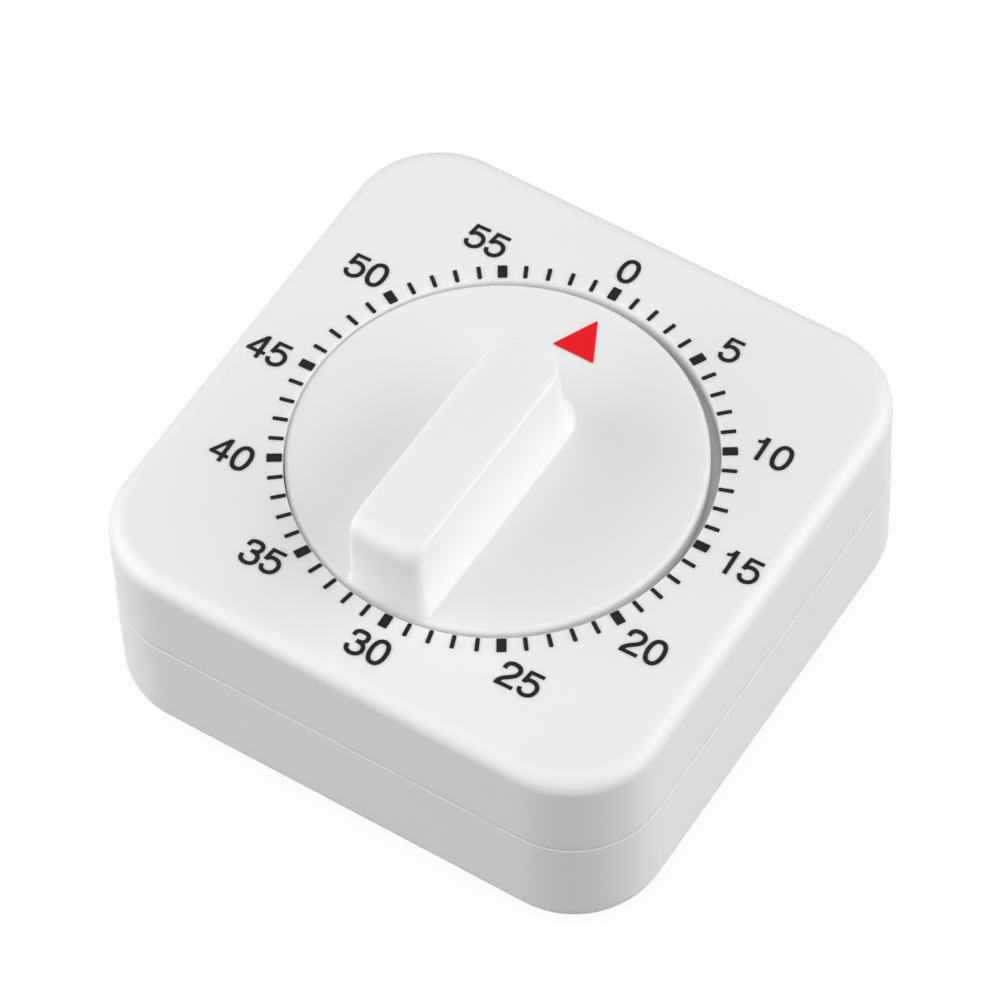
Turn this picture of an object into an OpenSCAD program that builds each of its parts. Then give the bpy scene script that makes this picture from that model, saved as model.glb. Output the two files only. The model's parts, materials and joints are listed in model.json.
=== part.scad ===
// Wind-up kitchen timer: a square case in two covers with a printed dial, a turning
// disc with a bar grip, and the spring-driven movement and its bell inside.
// Millimetres, +Z up, origin at the middle of the underside, the dial's 0 towards +Y.

/* [Case] */
// Width of the case from side to side
case_w = 60; // [59:0.5:70]
// Depth of the case from front to back
case_d = 60; // [59:0.5:70]
// Height of the case without the knob's grip
case_h = 24.65; // [24.2:0.05:27]
// Height of the line where the two covers part
parting_h = 13.5; // [10.5:0.1:15]
// Radius of the four upright corners
corner_r = 9.5; // [6:0.1:10]
// Radius of the edge round the top
top_edge_r = 1.8; // [0.5:0.1:2.5]
// Radius of the edge round the underside
base_edge_r = 2.8; // [0.5:0.1:3.5]
// Radius of the lower cover's edge at the parting line
seam_edge_r = 0.2; // [0.1:0.05:0.4]
// Step by which the upper cover stands back from the lower one
seam_step = 0.1; // [0.05:0.05:0.2]
// Thickness of the covers' walls
wall = 2; // [1.6:0.1:2.2]
// Thickness of the tongue on the lower cover
lip_t = 0.9; // [0.6:0.1:1.1]
// Height of the tongue on the lower cover
lip_h = 1.5; // [0.8:0.1:3]
// Clearance round the tongue
lip_gap = 0.1; // [0.05:0.01:0.2]

/* [Dial] */
// Length of a minute mark
tick_len = 1.5; // [0.8:0.1:2]
// Width of a minute mark
tick_w = 0.42; // [0.2:0.02:0.8]
// Width of every fifth minute mark
five_tick_w = 0.95; // [0.5:0.05:1.5]
// Distance from the well's edge to the marks
tick_gap = 0.05; // [0.02:0.01:1]
// Thickness of the printed ink
ink_t = 0.04; // [0.02:0.01:0.2]
// Turn of the printed scale against the case
print_turn = 2.1; // [-3:0.1:3]

/* [Knob] */
// Height of the whole timer to the top of the grip
overall_h = 35; // [30:0.5:42]
// Radius of the turning disc
disc_r = 20.45; // [16:0.05:20.6]
// Clearance between the disc and the well it turns in
disc_gap = 0.6; // [0.4:0.05:1.2]
// How far the disc's face lies below the top of the case
disc_drop = 0.25; // [0:0.05:1]
// Radius of the edge round the disc's face
disc_edge_r = 0.7; // [0.2:0.05:1.2]
// Thickness of the disc's face
disc_t = 1.6; // [1.2:0.1:1.8]
// Thickness of the skirt round the disc
skirt_t = 1.4; // [1:0.1:3]
// Clearance below the skirt
skirt_gap = 0.3; // [0.2:0.05:0.4]
// Depth of the well in the top cover
well_depth = 2.6; // [2.5:0.05:3.2]
// Thickness of the well's wall
well_wall = 1.2; // [0.8:0.1:2]
// Thickness of the well's floor
well_floor_t = 1.5; // [1:0.1:1.9]
// Radius of the hub below the disc
hub_r = 4; // [3:0.1:5]
// Clearance between the hub and the hole in the well's floor
hub_gap = 0.6; // [0.4:0.05:1]
// Offset of the knob and movement from the middle of the dial
axis_x = -0.25; // [-0.25:0.05:0.25]
// Width of the grip along its top
grip_top_w = 7.2; // [5:0.1:9]
// Width of the grip where its flare starts
grip_waist_w = 7.8; // [5.5:0.1:10]
// Width of the grip where it meets the disc
grip_base_w = 8.5; // [6:0.1:11]
// Height of the flare at the foot of the grip
grip_flare_h = 2.6; // [1:0.1:4]
// Reach of the grip's round end at its top
grip_top_reach = 6.8; // [5:0.1:9]
// Reach of the round end where its flare starts
grip_waist_reach = 7.75; // [5:0.05:10]
// Reach of the round end where it meets the disc
grip_base_reach = 9.35; // [5:0.05:11]
// Radius that rounds the grip's nose at the rim of the disc
grip_nose_r = 2; // [0.5:0.1:4]
// Setback of the grip's nose from the rim of the disc
grip_setback = 0.1; // [0.05:0.05:1]
// Thickness of the grip's hollow wall
grip_wall = 1.5; // [1:0.1:2]
// Width of the printed pointer
marker_w = 4.5; // [2:0.1:6]
// Length of the printed pointer
marker_l = 4.45; // [2:0.05:6]
// Distance from the disc's rim to the pointer's tip
marker_inset = 2.2; // [1.5:0.1:3.5]

/* [Movement] */
// Width of the square plates
plate_w = 41; // [40.6:0.1:41.4]
// Radius of the plates' corners
plate_corner_r = 6; // [5:0.1:8]
// Thickness of the plates
plate_t = 0.8; // [0.5:0.05:0.9]
// Length of the posts that carry the movement
post_h = 3.35; // [2.8:0.05:3.8]
// Radius of the posts that carry the movement
post_r = 2.6; // [2.2:0.1:2.7]
// Clearance between the carrying posts and the case's wall
post_edge = 1.1; // [0.9:0.1:1.6]
// Radius of the pillars between the plates
pillar_r = 1.5; // [1.2:0.1:1.9]
// Distance of each pillar from the movement's centre lines
pillar_at = 17; // [16.5:0.1:17.5]
// Radius of the arbors of the train
arbor_r = 0.55; // [0.5:0.05:0.55]
// Radius of the pivots at the arbors' ends
pivot_r = 0.35; // [0.25:0.05:0.45]
// Clearance round a turning pivot
pivot_gap = 0.05; // [0.02:0.01:0.1]
// Clearance between pieces pressed or keyed on an arbor
fit_gap = 0.02; // [0.01:0.01:0.05]
// Clearance between faces that slide on each other
face_gap = 0.05; // [0.02:0.01:0.08]
// Radius of the main arbor
main_arbor_r = 2; // [1.6:0.1:2.2]
// Radius of the main arbor's lower pivot
main_pivot_r = 1; // [0.6:0.1:1.2]
// Thickness of the spring's ribbon
ribbon_t = 0.3; // [0.15:0.05:0.4]
// Radius of the coiled spring
coil_r = 9.2; // [7:0.1:9.3]
// Turns in the coiled spring
coil_turns = 7; // [4:1:9]
// Module of the main wheel's teeth
main_module = 0.3; // [0.29:0.01:0.31]
// Module of the second wheel's teeth
second_module = 0.25; // [0.24:0.01:0.25]
// Module of the third wheel's teeth
third_module = 0.22; // [0.21:0.01:0.22]
// Thickness of the main wheel
main_wheel_t = 0.8; // [0.6:0.05:0.9]
// Thickness of the second and third wheels
train_wheel_t = 0.5; // [0.4:0.05:0.6]

/* [Escapement and bell] */
// Tip radius of the escape wheel
escape_r = 5; // [4.6:0.1:5]
// Tip radius of the strike wheel
strike_r = 3.4; // [3:0.1:3.4]
// Radius of the pins on the rocking arms
pin_r = 0.2; // [0.15:0.05:0.25]
// Clearance between a pin and the wheel's tips at mid swing
pin_gap = 0.1; // [0.06:0.02:0.15]
// Length of the balance bar
balance_l = 11; // [8:0.5:11]
// Radius of the stop cam
cam_r = 6; // [5:0.1:6.2]
// Depth of the notch in the stop cam
notch_d = 1.6; // [1.5:0.1:2.2]
// Thickness of the cam and of each lever
lever_t = 0.8; // [0.5:0.05:0.9]
// Width of each lever
lever_w = 1.4; // [1:0.1:1.6]
// Radius of the bell
bell_r = 19; // [18:0.1:21]
// Height of the bell
bell_h = 3.8; // [3.5:0.1:3.9]
// Thickness of the bell's wall
bell_t = 0.8; // [0.4:0.1:1]
// Clearance between the bell and the floor of the case
bell_clear = 0.8; // [0.7:0.1:1.2]
// Clearance between the bell's rim and the bottom plate
bell_gap = 0.4; // [0.3:0.1:0.6]
// Radius of the hammer's head
head_r = 1.3; // [0.9:0.1:1.5]

/* [Fasteners] */
// Distance of each case screw from the centre lines
screw_at = 22; // [22:0.1:22.5]
// Radius of the shank of a case screw
screw_r = 1.3; // [1:0.05:1.5]
// Radius of the head of a case screw
screw_head_r = 2.4; // [2:0.1:2.5]
// Height of the head of a case screw
screw_head_h = 1.8; // [1.2:0.1:2.2]
// Depth of the wells for the case screws
screw_well_d = 7; // [5:0.1:7.5]
// Thickness of the material round and above a screw's well
boss_t = 1; // [0.8:0.1:1.1]
// Radius of the shank of a movement screw
small_screw_r = 0.9; // [0.6:0.05:1]
// Radius of the head of a movement screw
small_head_r = 1.7; // [1.4:0.1:1.9]
// Height of the head of a movement screw
small_head_h = 0.8; // [0.5:0.1:1]
// Clearance round a screw
screw_gap = 0.05; // [0.03:0.01:0.1]

/* [Hidden] */
$fn = 96;

// Overrun of every cut past the face it opens
over = 0.5;
// Minutes on the dial, and minutes from one long mark to the next
minutes = 60;
five = 5;
// Radii and heights that follow from the sizes above
well_r = disc_r + disc_gap;
well_z = case_h - well_depth;
ceiling_z = case_h - wall;
disc_z = case_h - disc_drop;
grip_flare_z = disc_z + grip_flare_h;
top_plate_z = well_z - well_floor_t - post_h - plate_t;
bell_z = wall + bell_clear;
bottom_plate_z = bell_z + bell_h + bell_gap;
plate_gap = top_plate_z - bottom_plate_z - plate_t;
post_at = case_d / 2 - wall - post_edge - post_r;
boss_r = screw_head_r + screw_gap * 6 + boss_t;
boss_z = screw_well_d + boss_t + boss_t;
// Slots in the base that let the bell sound
slot_w = 1.4;
slot_l = 22;
slot_pitch = 4;
slot_count = 5;

// Steps of the flare at the foot of the grip, and the share of it that is left at each
flare_steps = 5;
flare_shares = [for (i = [0:flare_steps]) pow(1 - i / flare_steps, 2)];
// Depth by which the flare's upper edge is sunk in the grip's side
flare_bite = 0.1;

// Teeth and leaves of the train, and the ratios that they give
main_teeth = 80;
second_teeth = 72;
third_teeth = 64;
leaves = 8;
escape_teeth = 20;
strike_teeth = 12;
// Height of a tooth above and below the pitch circle, in modules
tooth_above_share = 0.9;
tooth_below_share = 1.3;
leaf_above_share = 0.7;
leaf_below_share = 1.4;
// Share of its pitch that a tooth fills at its tip and at its root
tooth_shares = [0.14, 0.42];
leaf_shares = [0.16, 0.36];
point_shares = [0.05, 0.35];
// Height of the escape wheel's and the strike wheel's points, as a share of the tip radius
point_share = 0.2;
// Distance between the centres of wheels in mesh
main_centres = main_module * (main_teeth + leaves) / 2;
second_centres = second_module * (second_teeth + leaves) / 2;
third_centres = third_module * (third_teeth + leaves) / 2;

// Levels of the movement, from the lower plate upwards
spring_gap = 0.4;
flange_t = 0.4;
flange_r = 3.5;
washer_t = 0.4;
collar_t = 1;
collar_r = 3;
level_share = 0.07;
level_gap = plate_gap * level_share;
third_wheel_z = top_plate_z - level_gap - train_wheel_t;
second_wheel_z = third_wheel_z - level_gap - train_wheel_t;
main_wheel_z = second_wheel_z - level_gap * 1.6 - main_wheel_t;
washer_z = main_wheel_z + main_wheel_t + face_gap;
collar_z = washer_z + washer_t + face_gap;
flange_z = main_wheel_z - face_gap - flange_t;
spring_z = bottom_plate_z + plate_t + spring_gap;
ribbon_h = flange_z - spring_z - 3 * face_gap;
low_arm_z = bottom_plate_z + plate_t + level_gap / 2;
strike_z = low_arm_z + lever_t + level_gap * 2 / 3;
verge_z = strike_z + train_wheel_t + level_gap / 2;
escape_z = strike_z;
anchor_z = escape_z + train_wheel_t + level_gap / 2;
cam_z = top_plate_z + plate_t + level_gap / 2;
hammer_z = bell_z + bell_t + level_gap * 1.5;

// Places of the arbors round the main arbor: distance, then direction
second_dir = 200;
third_at = 15;
escape_at = 15.5;
pallet_at = 16.5;
hammer_at = 16;
third_dir = second_dir + between(main_centres, third_at, second_centres);
escape_dir = third_dir + between(third_at, escape_at, third_centres);
// Half the angle that each pair of pins spans, in pitches of its wheel
span_share = 1.25;
pallet_half = span_share * 360 / escape_teeth;
verge_half = span_share * 360 / strike_teeth;
pallet_centres = (escape_r + pin_r + pin_gap) / cos(pallet_half);
verge_centres = (strike_r + pin_r + pin_gap) / cos(verge_half);
pallet_dir = escape_dir + between(escape_at, pallet_at, pallet_centres);
hammer_dir = second_dir - between(main_centres, hammer_at, verge_centres);
second_xy = polar(main_centres, second_dir);
third_xy = polar(third_at, third_dir);
escape_xy = polar(escape_at, escape_dir);
pallet_xy = polar(pallet_at, pallet_dir);
hammer_xy = polar(hammer_at, hammer_dir);
// The release lever's pivot and its nose over the cam's rim
nose_r = 0.6;
nose_gap = 0.2;
finger_l = 1.5;
nose_xy = [0, cam_r + nose_gap + nose_r];
lever_reach = 12;
lever_xy = nose_xy + [-lever_reach, finger_l];
notch_half = 16;
// Length of the blocking arm and of the tail that it stands beside, as shares of the
// distance between their arbors, and the arm's turn aside
block_share = 0.52;
tail_share = 0.27;
block_aside = 8;
arm_span = norm(hammer_xy - lever_xy);
// The cock that carries the hammer arbor's upper pivot below the second wheel
cock_t = 0.6;
cock_r = 0.8;
cock_reach = 3.4;
cock_z = second_wheel_z - level_gap / 2 - cock_t;
cock_xy = polar(hammer_at + cock_reach, hammer_dir);
// The hammer's head, clear of the bell at its furthest swing
strike_gap = 1.6;
head_dir = hammer_dir - 38;
head_xy = polar(bell_r - bell_t - head_r - strike_gap, head_dir);
// The post that holds the mainspring's outer end
hook_dir = 60;
hook_r = 0.7;
eye_t = 0.4;
hook_xy = polar(coil_r + hook_r + eye_t + eye_t, hook_dir);
// Directions of the three carrying posts
post_dirs = [90, 205, 335];
// Directions of the top plate's windows, and where they start and end as shares of its half width
window_dirs = [10, 50, 125];
window_shares = [0.415, 0.755];
bell_post_r = 1.8;
bell_hole_r = 1;

// Point at a distance and direction
function polar(r, a) = [r * cos(a), r * sin(a)];

// Angle at the centre between two places at distances a and b that lie c apart
function between(a, b, c) = acos((a * a + b * b - c * c) / (2 * a * b));

// Direction from one place to another
function heading(from, to) = atan2(to[1] - from[1], to[0] - from[0]);

// Outline of a toothed wheel: each tooth narrows from its root to its tip
function toothed(teeth, tip_r, root_r, shares) = [
    for (i = [0:teeth - 1], corner = [[root_r, -shares[1]], [tip_r, -shares[0]], [tip_r, shares[0]], [root_r, shares[1]]])
        polar(corner[0], (i + corner[1] / 2) * 360 / teeth)
];

// Moves the knob and movement to their common axis
module at_axis() {
    translate([axis_x, 0, 0]) children();
}

// Four copies at the corners of a square
module at_corners(x, y) {
    for (sx = [-1, 1], sy = [-1, 1]) translate([sx * x, sy * y, 0]) children();
}

// Upright disc or post of one radius, standing at a height
module post(r, z, h) {
    translate([0, 0, z]) cylinder(r = r, h = h);
}

// Half of a block's section: square at the middle, with its outer edges rounded
module half_section(reach, h, low_r, high_r) {
    difference() {
        square([reach, h]);
        if (low_r > 0) translate([reach - low_r, 0]) square([low_r, low_r]);
        if (high_r > 0) translate([reach - high_r, h - high_r]) square([high_r, high_r]);
    }
    intersection() {
        square([reach, h]);
        union() {
            if (low_r > 0) translate([reach - low_r, low_r]) circle(r = low_r);
            if (high_r > 0) translate([reach - high_r, h - high_r]) circle(r = high_r);
        }
    }
}

// Whole section of a block, both halves
module full_section(reach, h, low_r, high_r) {
    half_section(reach, h, low_r, high_r);
    mirror([1, 0]) half_section(reach, h, low_r, high_r);
}

// Block with upright corners of one radius and rounded lower and upper edges
module soft_block(w, d, z, h, r, low_r, high_r) {
    translate([0, 0, z]) {
        translate([0, d / 2 - r, 0]) rotate([90, 0, 0])
            linear_extrude(d - 2 * r) full_section(w / 2, h, low_r, high_r);
        translate([-w / 2 + r, 0, 0]) rotate([90, 0, 90])
            linear_extrude(w - 2 * r) full_section(d / 2, h, low_r, high_r);
        for (i = [0:3])
            translate([(i == 0 || i == 3 ? 1 : -1) * (w / 2 - r), (i < 2 ? 1 : -1) * (d / 2 - r), 0])
                rotate([0, 0, i * 90]) rotate_extrude(angle = 90) half_section(r, h, low_r, high_r);
    }
}

// Flat bar of one width with round ends between two places
module bar_2d(from, to, w) {
    translate(from) circle(d = w);
    translate(to) circle(d = w);
    translate(from) rotate(heading(from, to)) translate([0, -w / 2]) square([norm(to - from), w]);
}

// Shell of the upper cover, without its well, posts and bosses
module top_shell() {
    inner_r = corner_r - wall;
    difference() {
        soft_block(case_w - 2 * seam_step, case_d - 2 * seam_step, parting_h, case_h - parting_h,
            corner_r - seam_step, 0, top_edge_r);
        soft_block(case_w - 2 * wall, case_d - 2 * wall, parting_h - over, ceiling_z - parting_h + over, inner_r, 0, 0);
        soft_block(case_w - 2 * (wall - lip_t - lip_gap), case_d - 2 * (wall - lip_t - lip_gap), parting_h - over,
            over + lip_h + lip_gap, inner_r + lip_t + lip_gap, 0, 0);
    }
}

module top_cover() {
    color("white") difference() {
        union() {
            top_shell();
            post(well_r + well_wall, well_z - well_floor_t, ceiling_z + wall / 2 - well_z + well_floor_t);
            at_corners(screw_at, screw_at)
                post(screw_r + screw_gap + boss_t, boss_z + lip_gap, ceiling_z + wall / 2 - boss_z - lip_gap);
            at_axis() for (a = post_dirs) rotate(a) translate([post_at, 0, 0])
                post(post_r, top_plate_z + plate_t, ceiling_z + wall / 2 - top_plate_z - plate_t);
        }
        post(well_r, well_z, well_depth + over);
        at_axis() post(hub_r + hub_gap, well_z - well_floor_t - over, well_floor_t + 2 * over);
        at_corners(screw_at, screw_at) post(screw_r + screw_gap, boss_z - over, ceiling_z - boss_z - wall);
        at_axis() for (a = post_dirs) rotate(a) translate([post_at, 0, 0])
            post(small_screw_r + screw_gap, top_plate_z, plate_t + post_h + well_floor_t * 0.7);
    }
}

// Shell of the lower cover with its tongue
module base_shell() {
    inner_r = corner_r - wall;
    difference() {
        union() {
            soft_block(case_w, case_d, 0, parting_h, corner_r, base_edge_r, seam_edge_r);
            soft_block(case_w - 2 * (wall - lip_t), case_d - 2 * (wall - lip_t), parting_h - wall, wall + lip_h,
                inner_r + lip_t, 0, 0);
        }
        soft_block(case_w - 2 * wall, case_d - 2 * wall, wall, parting_h + lip_h, inner_r, 0, 0);
    }
}

module base_cover() {
    color("white") difference() {
        union() {
            base_shell();
            at_corners(screw_at, screw_at) post(boss_r, wall / 2, boss_z - wall / 2);
        }
        at_corners(screw_at, screw_at) {
            post(boss_r - boss_t, -over, screw_well_d + over);
            post(screw_r + 4 * screw_gap, screw_well_d - over, 2 * over + 2 * boss_t);
        }
        at_axis() for (i = [0:slot_count - 1])
            translate([-slot_l / 2, (i - (slot_count - 1) / 2) * slot_pitch, -over]) slot(slot_l, slot_w, wall + 2 * over);
    }
}

// Straight slot with round ends
module slot(l, w, h) {
    linear_extrude(h) bar_2d([w / 2, 0], [l - w / 2, 0], w);
}

module case_screws() {
    color("silver") at_corners(screw_at, screw_at) difference() {
        union() {
            post(screw_head_r, screw_well_d - screw_head_h, screw_head_h);
            post(screw_r, screw_well_d - face_gap, ceiling_z - 2 * wall - screw_well_d);
        }
        for (a = [0, 90]) rotate(a) translate([0, 0, screw_well_d - screw_head_h - over])
            linear_extrude(over + screw_head_h / 2) square([screw_head_r * 1.3, screw_head_r / 4], center = true);
    }
}

module minute_scale() {
    color("black") rotate(print_turn) translate([0, 0, case_h]) for (i = [0:minutes - 1])
        rotate(i * 360 / minutes) linear_extrude(ink_t) tick_2d(i % five == 0 ? five_tick_w : tick_w);
}

// One printed mark with its corners rounded
module tick_2d(w) {
    r = tick_w / 4;
    from = well_r + tick_gap;
    translate([-w / 2, from + r]) square([w, tick_len - 2 * r]);
    translate([-w / 2 + r, from]) square([w - 2 * r, tick_len]);
    for (x = [-1, 1], y = [from + r, from + tick_len - r]) translate([x * (w / 2 - r), y]) circle(r = r);
}

// Size of the grip's drafted bar at a height, from its sizes at the waist and at the top
function drafted(waist, top, z) = waist + (top - waist) * (z - grip_flare_z) / (overall_h - grip_flare_z);

// Leaning round end of the grip between two heights, each with its radius and reach
module grip_round(low_z, low_r, low_reach, high_z, high_r, high_reach) {
    low_y = low_reach - low_r;
    high_y = high_reach - high_r;
    lean = atan2(low_y - high_y, high_z - low_z);
    axis_l = norm([low_y - high_y, high_z - low_z]);
    // The cone runs on past both heights at the same taper, and is cut level by its caller
    taper = (low_r - high_r) / axis_l;
    translate([0, low_y, low_z]) rotate([lean, 0, 0]) translate([0, 0, -over])
        cylinder(r1 = low_r + taper * over, r2 = high_r - taper * over, h = axis_l + 2 * over);
}

// Drafted bar of the grip from a foot upwards, smaller all round by an inset
module grip_bar(inset, foot_z) {
    end_y = grip_top_reach - grip_top_w / 2;
    low_r = drafted(grip_waist_w, grip_top_w, foot_z) / 2 - inset;
    high_r = grip_top_w / 2 - inset;
    translate([0, end_y, 0]) rotate([90, 0, 0]) linear_extrude(end_y + disc_r)
        polygon([[-low_r, foot_z], [low_r, foot_z], [high_r, overall_h], [-high_r, overall_h]]);
    intersection() {
        grip_round(foot_z, low_r, drafted(grip_waist_reach, grip_top_reach, foot_z) - inset,
            overall_h, high_r, grip_top_reach - inset);
        post(2 * disc_r, foot_z, overall_h - foot_z);
    }
}

// Half of the flare's section, whose hollow side ends sunk in the grip
module flare_half(foot_r, sunk_r) {
    foot_z = disc_z - disc_t / 2;
    polygon(concat(
        [[0, foot_z], [foot_r, foot_z]],
        [for (i = [0:flare_steps]) [sunk_r + (foot_r - sunk_r) * flare_shares[i], disc_z + grip_flare_h * i / flare_steps]],
        [[0, grip_flare_z]]
    ));
}

// Flare along the foot of the grip, round its end and out into a longer tail
module grip_flare() {
    end_y = grip_waist_reach - grip_waist_w / 2;
    tail_y = grip_base_reach - grip_base_w / 2;
    foot_r = grip_base_w / 2;
    side_r = grip_waist_w / 2 - flare_bite;
    translate([0, end_y, 0]) rotate_extrude() flare_half(foot_r, side_r);
    translate([0, end_y, 0]) rotate([90, 0, 0]) linear_extrude(end_y + disc_r)
        for (side = [0, 1]) mirror([side, 0]) flare_half(foot_r, side_r);
    translate([0, tail_y, 0]) rotate_extrude() flare_half(foot_r, grip_waist_reach - tail_y - flare_bite);
}

// Everything behind the grip's front and under its top and rounded nose, smaller by an inset
module grip_bounds(inset, foot_z) {
    top_z = overall_h - inset;
    intersection() {
        post(disc_r - grip_setback - inset, foot_z, top_z - foot_z);
        translate([-grip_base_w, 0, 0]) rotate([90, 0, 90]) linear_extrude(2 * grip_base_w) nose_section(top_z, inset);
    }
}

// Side view of the grip that rounds its nose
module nose_section(top_z, inset) {
    front = disc_r - grip_setback - inset;
    difference() {
        translate([-front, 0]) square([2 * front, top_z]);
        translate([-front, top_z - grip_nose_r]) square([grip_nose_r, grip_nose_r]);
    }
    translate([-front + grip_nose_r, top_z - grip_nose_r]) circle(r = grip_nose_r);
}

// Outline of the main arbor's upper end: round with a flat for the knob and the cam
module keyed_2d(r) {
    difference() {
        circle(r = r);
        translate([main_arbor_r * 0.6 + r - main_arbor_r, -r]) square([r, 2 * r]);
    }
}

module knob() {
    skirt_z = well_z + skirt_gap;
    hub_z = cam_z + lever_t + level_gap;
    color("white") at_axis() difference() {
        union() {
            rotate_extrude() difference() {
                translate([0, skirt_z]) half_section(disc_r, disc_z - skirt_z, 0, disc_edge_r);
                translate([0, skirt_z - over]) square([disc_r - skirt_t, disc_z - disc_t - skirt_z + over]);
            }
            post(hub_r, hub_z, disc_z - disc_t / 2 - hub_z);
            intersection() {
                union() {
                    grip_bar(0, disc_z - disc_t / 2);
                    grip_flare();
                }
                grip_bounds(0, disc_z - disc_t / 2);
            }
        }
        difference() {
            intersection() {
                grip_bar(grip_wall, disc_z - disc_t - over);
                grip_bounds(grip_wall, disc_z - disc_t - over);
            }
            post(hub_r + over, 0, disc_z);
        }
        translate([0, 0, hub_z - over]) linear_extrude(disc_z - hub_z + over) keyed_2d(main_arbor_r + fit_gap);
    }
}

module pointer_mark() {
    tip = disc_r - marker_inset;
    color("red") at_axis() translate([0, 0, disc_z]) linear_extrude(ink_t)
        polygon([[0, tip], [-marker_w / 2, tip - marker_l], [marker_w / 2, tip - marker_l]]);
}

// Outline of a plate with rounded corners
module plate_2d() {
    flat = plate_w - 2 * plate_corner_r;
    square([plate_w, flat], center = true);
    square([flat, plate_w], center = true);
    at_corners(flat / 2, flat / 2) circle(r = plate_corner_r);
}

// Bearing holes that both plates share
module bearing_holes(main_r) {
    circle(r = main_r + pivot_gap);
    for (p = [second_xy, third_xy, escape_xy, pallet_xy, lever_xy]) translate(p) circle(r = pivot_r + pivot_gap);
    at_corners(pillar_at, pillar_at) circle(r = small_screw_r + 2 * screw_gap);
}

// Windows that lighten a plate between its bearings
module plate_windows() {
    for (a = window_dirs) rotate(a)
        bar_2d([window_shares[0] * plate_w / 2, 0], [window_shares[1] * plate_w / 2, 0], lever_w * 2);
}

module top_plate() {
    color("goldenrod") at_axis() translate([0, 0, top_plate_z]) linear_extrude(plate_t) difference() {
        union() {
            plate_2d();
            for (a = post_dirs) bar_2d(polar(post_at / 2, a), polar(post_at, a), 2 * post_r);
        }
        bearing_holes(main_arbor_r);
        plate_windows();
        for (a = post_dirs) translate(polar(post_at, a)) circle(r = small_screw_r + 4 * screw_gap);
    }
}

module bottom_plate() {
    color("goldenrod") at_axis() translate([0, 0, bottom_plate_z]) linear_extrude(plate_t) difference() {
        plate_2d();
        bearing_holes(main_pivot_r);
        translate(hammer_xy) circle(r = arbor_r + pivot_gap);
        translate(hook_xy) circle(r = hook_r / 2 + fit_gap);
        translate(cock_xy) circle(r = cock_r / 2 + fit_gap);
    }
}

module plate_pillars() {
    low_z = bottom_plate_z + plate_t;
    color("silver") at_axis() at_corners(pillar_at, pillar_at) difference() {
        union() {
            post(pillar_r, low_z, plate_gap);
            post(small_screw_r, bottom_plate_z - plate_t / 2, plate_t * 1.5 + face_gap);
        }
        post(small_screw_r / 2 + screw_gap, top_plate_z - plate_gap / 3, plate_gap);
    }
}

module plate_screws() {
    high_z = top_plate_z + plate_t;
    color("silver") at_axis() at_corners(pillar_at, pillar_at) difference() {
        union() {
            post(small_head_r, high_z, small_head_h);
            post(small_screw_r / 2, top_plate_z - plate_gap / 4, plate_gap / 4 + plate_t + face_gap);
        }
        screw_slot(high_z + small_head_h / 2, small_head_r, small_head_h);
    }
}

// Straight slot across a screw's head
module screw_slot(z, r, h) {
    translate([0, 0, z]) linear_extrude(h) square([3 * r, r / 3], center = true);
}

module movement_screws() {
    color("silver") at_axis() for (a = post_dirs) rotate(a) translate([post_at, 0, 0]) difference() {
        union() {
            post(small_head_r, top_plate_z - small_head_h, small_head_h);
            post(small_screw_r, top_plate_z - face_gap, plate_t + post_h + well_floor_t / 2);
        }
        screw_slot(top_plate_z - 1.5 * small_head_h, small_head_r, small_head_h);
    }
}

module main_arbor() {
    low_z = bottom_plate_z;
    color("silver") at_axis() {
        post(main_pivot_r, low_z, plate_t + 2 * face_gap);
        post(main_arbor_r, low_z + plate_t + face_gap, cam_z - low_z - plate_t - face_gap);
        post(flange_r, flange_z, flange_t);
        translate([0, 0, cam_z - face_gap]) linear_extrude(disc_z - fit_gap - cam_z) keyed_2d(main_arbor_r);
    }
}

// Spiral ribbon: the radius grows evenly with the turn, out along the outer face and back along the inner one
function ribbon(from_r, to_r, turns, t, steps) = concat(
    [for (i = [0:steps]) polar(from_r + t + (to_r - from_r) * i / steps, hook_dir - 360 * turns * (1 - i / steps))],
    [for (i = [steps:-1:0]) polar(from_r + (to_r - from_r) * i / steps, hook_dir - 360 * turns * (1 - i / steps))]
);

module mainspring() {
    color("steelblue") at_axis() translate([0, 0, spring_z]) linear_extrude(ribbon_h) {
        polygon(ribbon(main_arbor_r + face_gap, coil_r - ribbon_t, coil_turns, ribbon_t, 20 * coil_turns));
        translate(hook_xy) difference() {
            circle(r = hook_r + face_gap + eye_t);
            circle(r = hook_r + face_gap);
        }
        bar_2d(polar(coil_r - ribbon_t / 2, hook_dir - 1), polar(norm(hook_xy) - hook_r - face_gap - eye_t / 2, hook_dir), eye_t);
    }
}

module spring_post() {
    color("silver") at_axis() translate([hook_xy[0], hook_xy[1], 0]) {
        post(hook_r / 2, bottom_plate_z, plate_t + face_gap);
        post(hook_r, bottom_plate_z + plate_t, spring_gap + ribbon_h);
    }
}

// Toothed wheel with spokes cut between its rim and its hub
module train_wheel(teeth, module_mm, t, bore_r, hub_r, spokes) {
    pitch_r = module_mm * teeth / 2;
    rim_r = pitch_r - (tooth_below_share + 2) * module_mm;
    linear_extrude(t) difference() {
        polygon(toothed(teeth, pitch_r + tooth_above_share * module_mm, pitch_r - tooth_below_share * module_mm, tooth_shares));
        difference() {
            circle(r = rim_r);
            circle(r = hub_r);
            for (i = [0:spokes - 1]) rotate(i * 360 / spokes) translate([0, -hub_r / 4]) square([rim_r + over, hub_r / 2]);
        }
        circle(r = bore_r);
    }
}

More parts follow.
